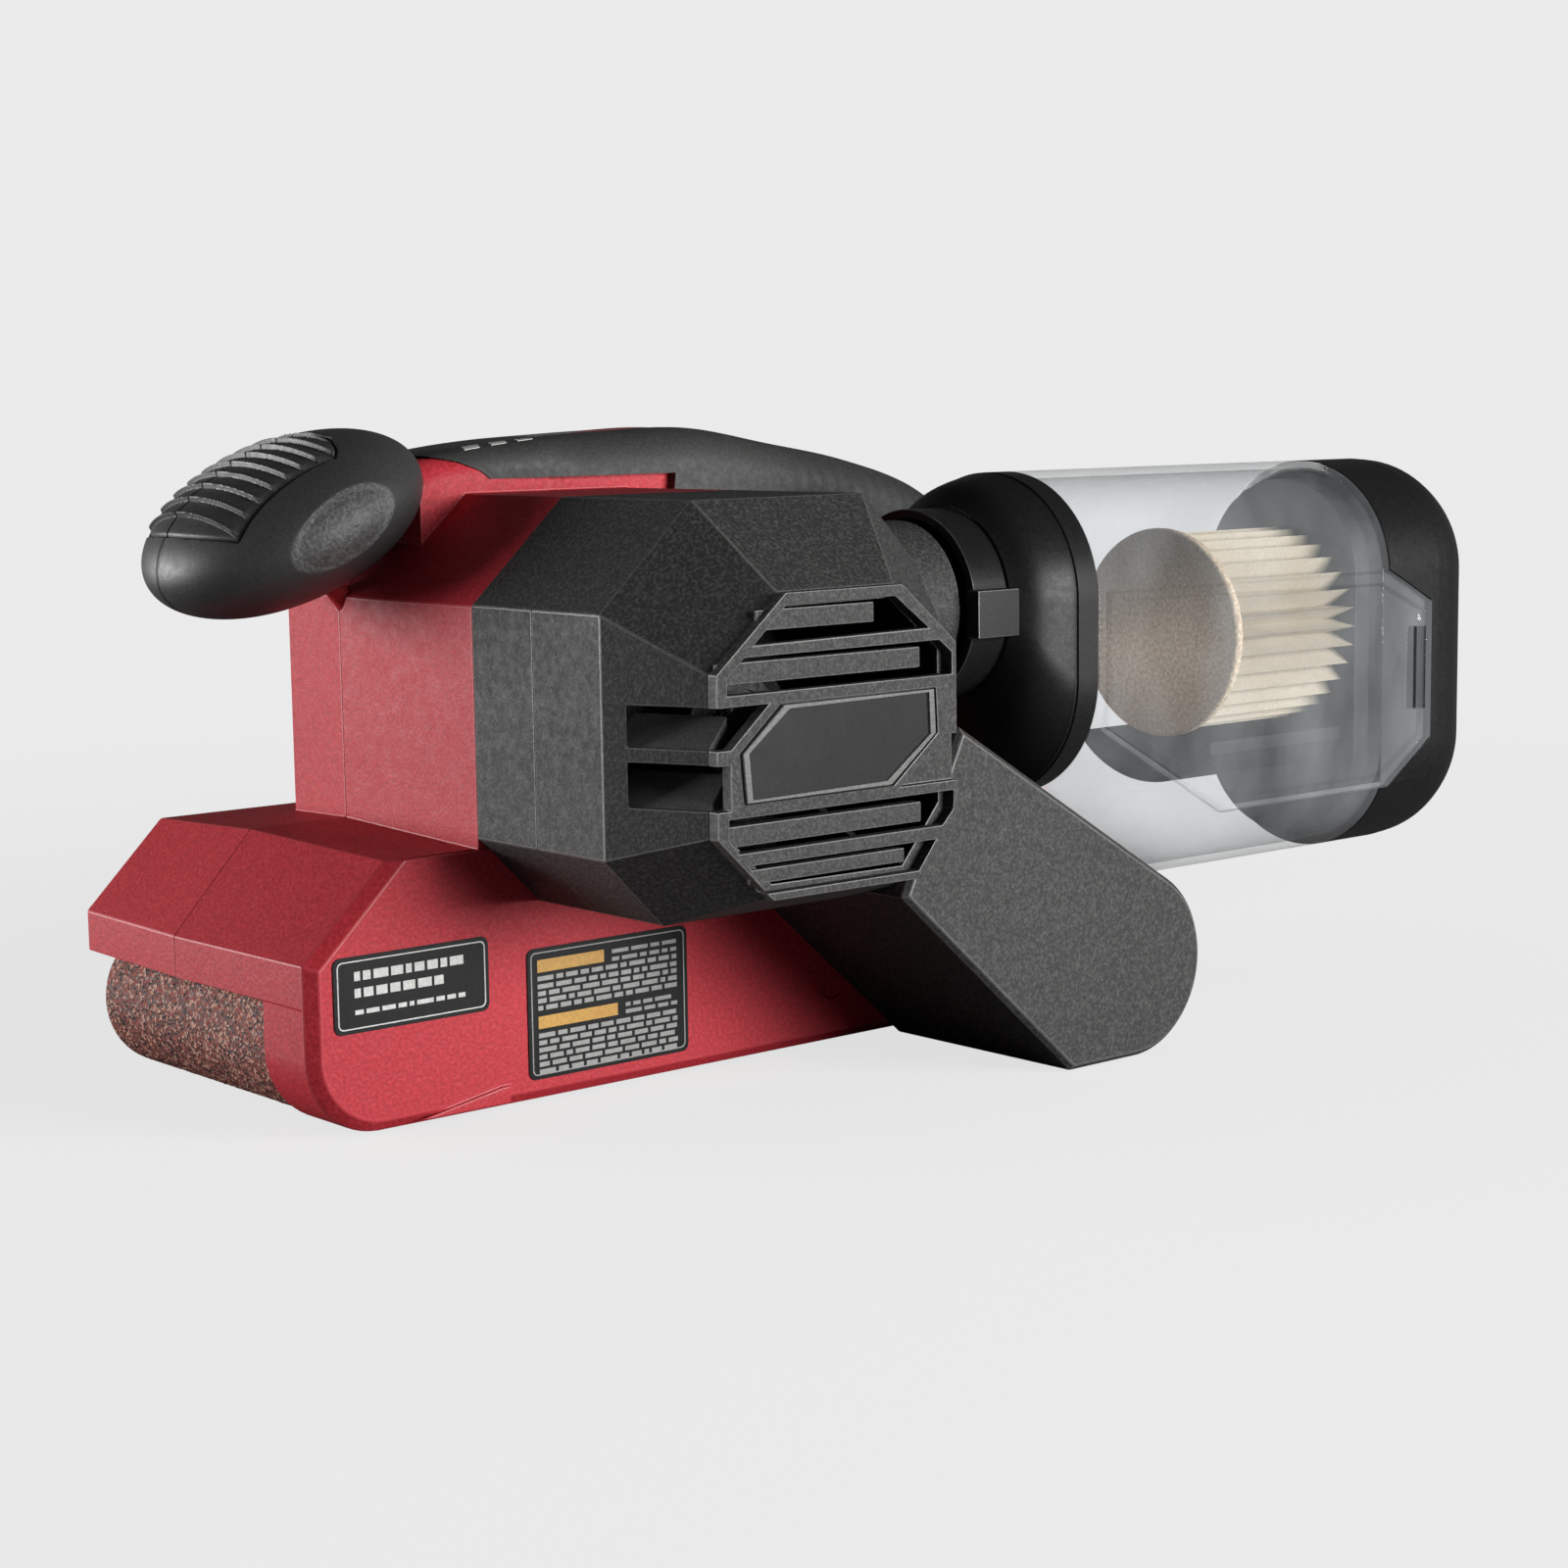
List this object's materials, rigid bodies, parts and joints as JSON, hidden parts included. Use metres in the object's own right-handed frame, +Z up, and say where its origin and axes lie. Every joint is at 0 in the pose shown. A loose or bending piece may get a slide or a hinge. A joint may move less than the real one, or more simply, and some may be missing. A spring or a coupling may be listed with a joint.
{
  "type": "handheld belt sander",
  "caption": "Corded handheld belt sander with side motor pod, looped rear handle with trigger, ribbed front knob, open-sided belt and clear dust canister.",
  "frame": {"origin": "centre of the sanding belt's flat sole, on the work surface", "axes": "+Z up from the work; +X to the rear, towards the dust canister; -X to the front knob; -Y to the motor pod; +Y to the open side of the belt"},
  "size_m": [0.3522, 0.1692, 0.1493],
  "materials": {
    "red_shell": "fine spark-eroded grain, satin",
    "charcoal_plastic": "coarse moulded grain, matte",
    "black_plastic": "fine grain, satin",
    "grey_plastic": "smooth satin",
    "grip_rubber": "soft touch, matte",
    "red_inlay": "smooth gloss",
    "badge_plastic": "satin plate with a raised rim",
    "label_film": "printed film, satin",
    "clear_plastic": "clear moulded plastic",
    "abrasive_cloth": "coated grit on cloth backing",
    "cork": "pressed cork",
    "roller_rubber": "ground rubber",
    "belt_rubber": "ribbed rubber",
    "filter_paper": "folded filter paper",
    "filter_foam": "moulded filter end disc",
    "steel": "turned",
    "sheet_steel": "pressed, zinc plated",
    "screw_steel": "blackened",
    "spring_steel": "drawn wire",
    "bearing_steel": "ground",
    "lamination_steel": "stacked sheet",
    "cast_alloy": "die cast",
    "bronze": "sintered",
    "copper_wire": "enamelled wire",
    "copper_bars": "turned",
    "carbon": "pressed carbon"
  },
  "bodies": {
    "housing": {"housing_left": "red_shell", "housing_right": "red_shell", "sanding_belt": "abrasive_cloth", "lever_pin": "steel", "inner_frame": "cast_alloy", "platen": "sheet_steel", "cork_pad": "cork", "tension_spring": "spring_steel", "roller_bearings": "bearing_steel", "drive_belt": "belt_rubber", "stator_core": "lamination_steel", "field_coils": "copper_wire", "carbon_brushes": "carbon", "brush_holders": "black_plastic", "motor_bearings": "bearing_steel", "frame_bolts": "screw_steel", "fan_housing": "charcoal_plastic", "motor_cover": "charcoal_plastic", "vent_grille": "charcoal_plastic", "badge_plate": "badge_plastic", "belt_cover": "charcoal_plastic", "label_front": "label_film", "label_rear": "label_film", "handle_grip": "grip_rubber", "indicator_panel": "red_inlay", "trigger_spring": "spring_steel", "switch_body": "black_plastic", "lock_spring": "spring_steel", "cord_gland": "grip_rubber", "knob_pad": "grip_rubber", "front_knob": "black_plastic", "knob_bolt": "steel", "housing_screws": "screw_steel"},
    "drive_train": {"drive_roller_core": "cast_alloy", "roller_sleeve": "roller_rubber", "drive_shaft": "steel", "driven_pulley": "cast_alloy"},
    "idler": {"idler_roller": "cast_alloy", "idler_bushings": "bronze"},
    "yoke": {"idler_yoke": "sheet_steel", "idler_axle": "steel"},
    "lever": {"tension_lever": "sheet_steel"},
    "armature": {"armature_shaft": "steel", "armature_core": "lamination_steel", "armature_winding": "copper_wire", "commutator": "copper_bars", "dust_fan": "black_plastic", "drive_pulley": "steel"},
    "trigger": {"trigger": "black_plastic"},
    "lock_button": {"lock_button": "black_plastic"},
    "canister": {"port_collar": "grey_plastic", "canister_adapter": "black_plastic", "canister_body": "clear_plastic"},
    "cap": {"end_cap": "black_plastic", "filter_frame": "black_plastic", "pleated_filter": "filter_paper", "filter_disc": "filter_foam"}
  },
  "joints": [
    {"name": "drive_roller_spin", "type": "hinge", "parent": "housing", "child": "drive_train", "pos_m": [0.0833, 0, 0.0221], "axis": [0, 1, 0], "continuous": true},
    {"name": "armature_spin", "type": "hinge", "parent": "housing", "child": "armature", "pos_m": [-0.0182, 0, 0.0844], "axis": [0, 1, 0], "continuous": true},
    {"name": "lever_swing", "type": "hinge", "parent": "housing", "child": "lever", "pos_m": [0.02, 0.031, 0.015], "axis": [0, 0, -1], "range_deg": [0, 100]},
    {"name": "yoke_slide", "type": "slide", "parent": "housing", "child": "yoke", "axis": [1, 0, 0], "range_m": [0, 0.005], "deforming": ["tension_spring"]},
    {"name": "idler_spin", "type": "hinge", "parent": "yoke", "child": "idler", "pos_m": [-0.0833, 0, 0.0173], "axis": [0, 1, 0], "continuous": true},
    {"name": "trigger_pull", "type": "slide", "parent": "housing", "child": "trigger", "axis": [0, 0, 1], "range_m": [0, 0.005], "stiffness_N_per_m": 900, "springref_m": -0.002, "deforming": ["trigger_spring"]},
    {"name": "lock_press", "type": "slide", "parent": "housing", "child": "lock_button", "axis": [0, 1, 0], "range_m": [0, 0.0025], "stiffness_N_per_m": 500, "springref_m": -0.001, "deforming": ["lock_spring"]},
    {"name": "canister_slide", "type": "slide", "parent": "housing", "child": "canister", "axis": [1, 0, 0], "range_m": [0, 0.03]},
    {"name": "cap_slide", "type": "slide", "parent": "canister", "child": "cap", "axis": [1, 0, 0], "range_m": [0, 0.11]}
  ],
  "couplings": [
    {"joint": "armature_spin", "follows": "drive_roller_spin", "ratio": 2.6364},
    {"joint": "idler_spin", "follows": "drive_roller_spin", "ratio": 1.2775},
    {"joint": "yoke_slide", "follows": "lever_swing", "m_per_rad": 0.0028648}
  ]
}
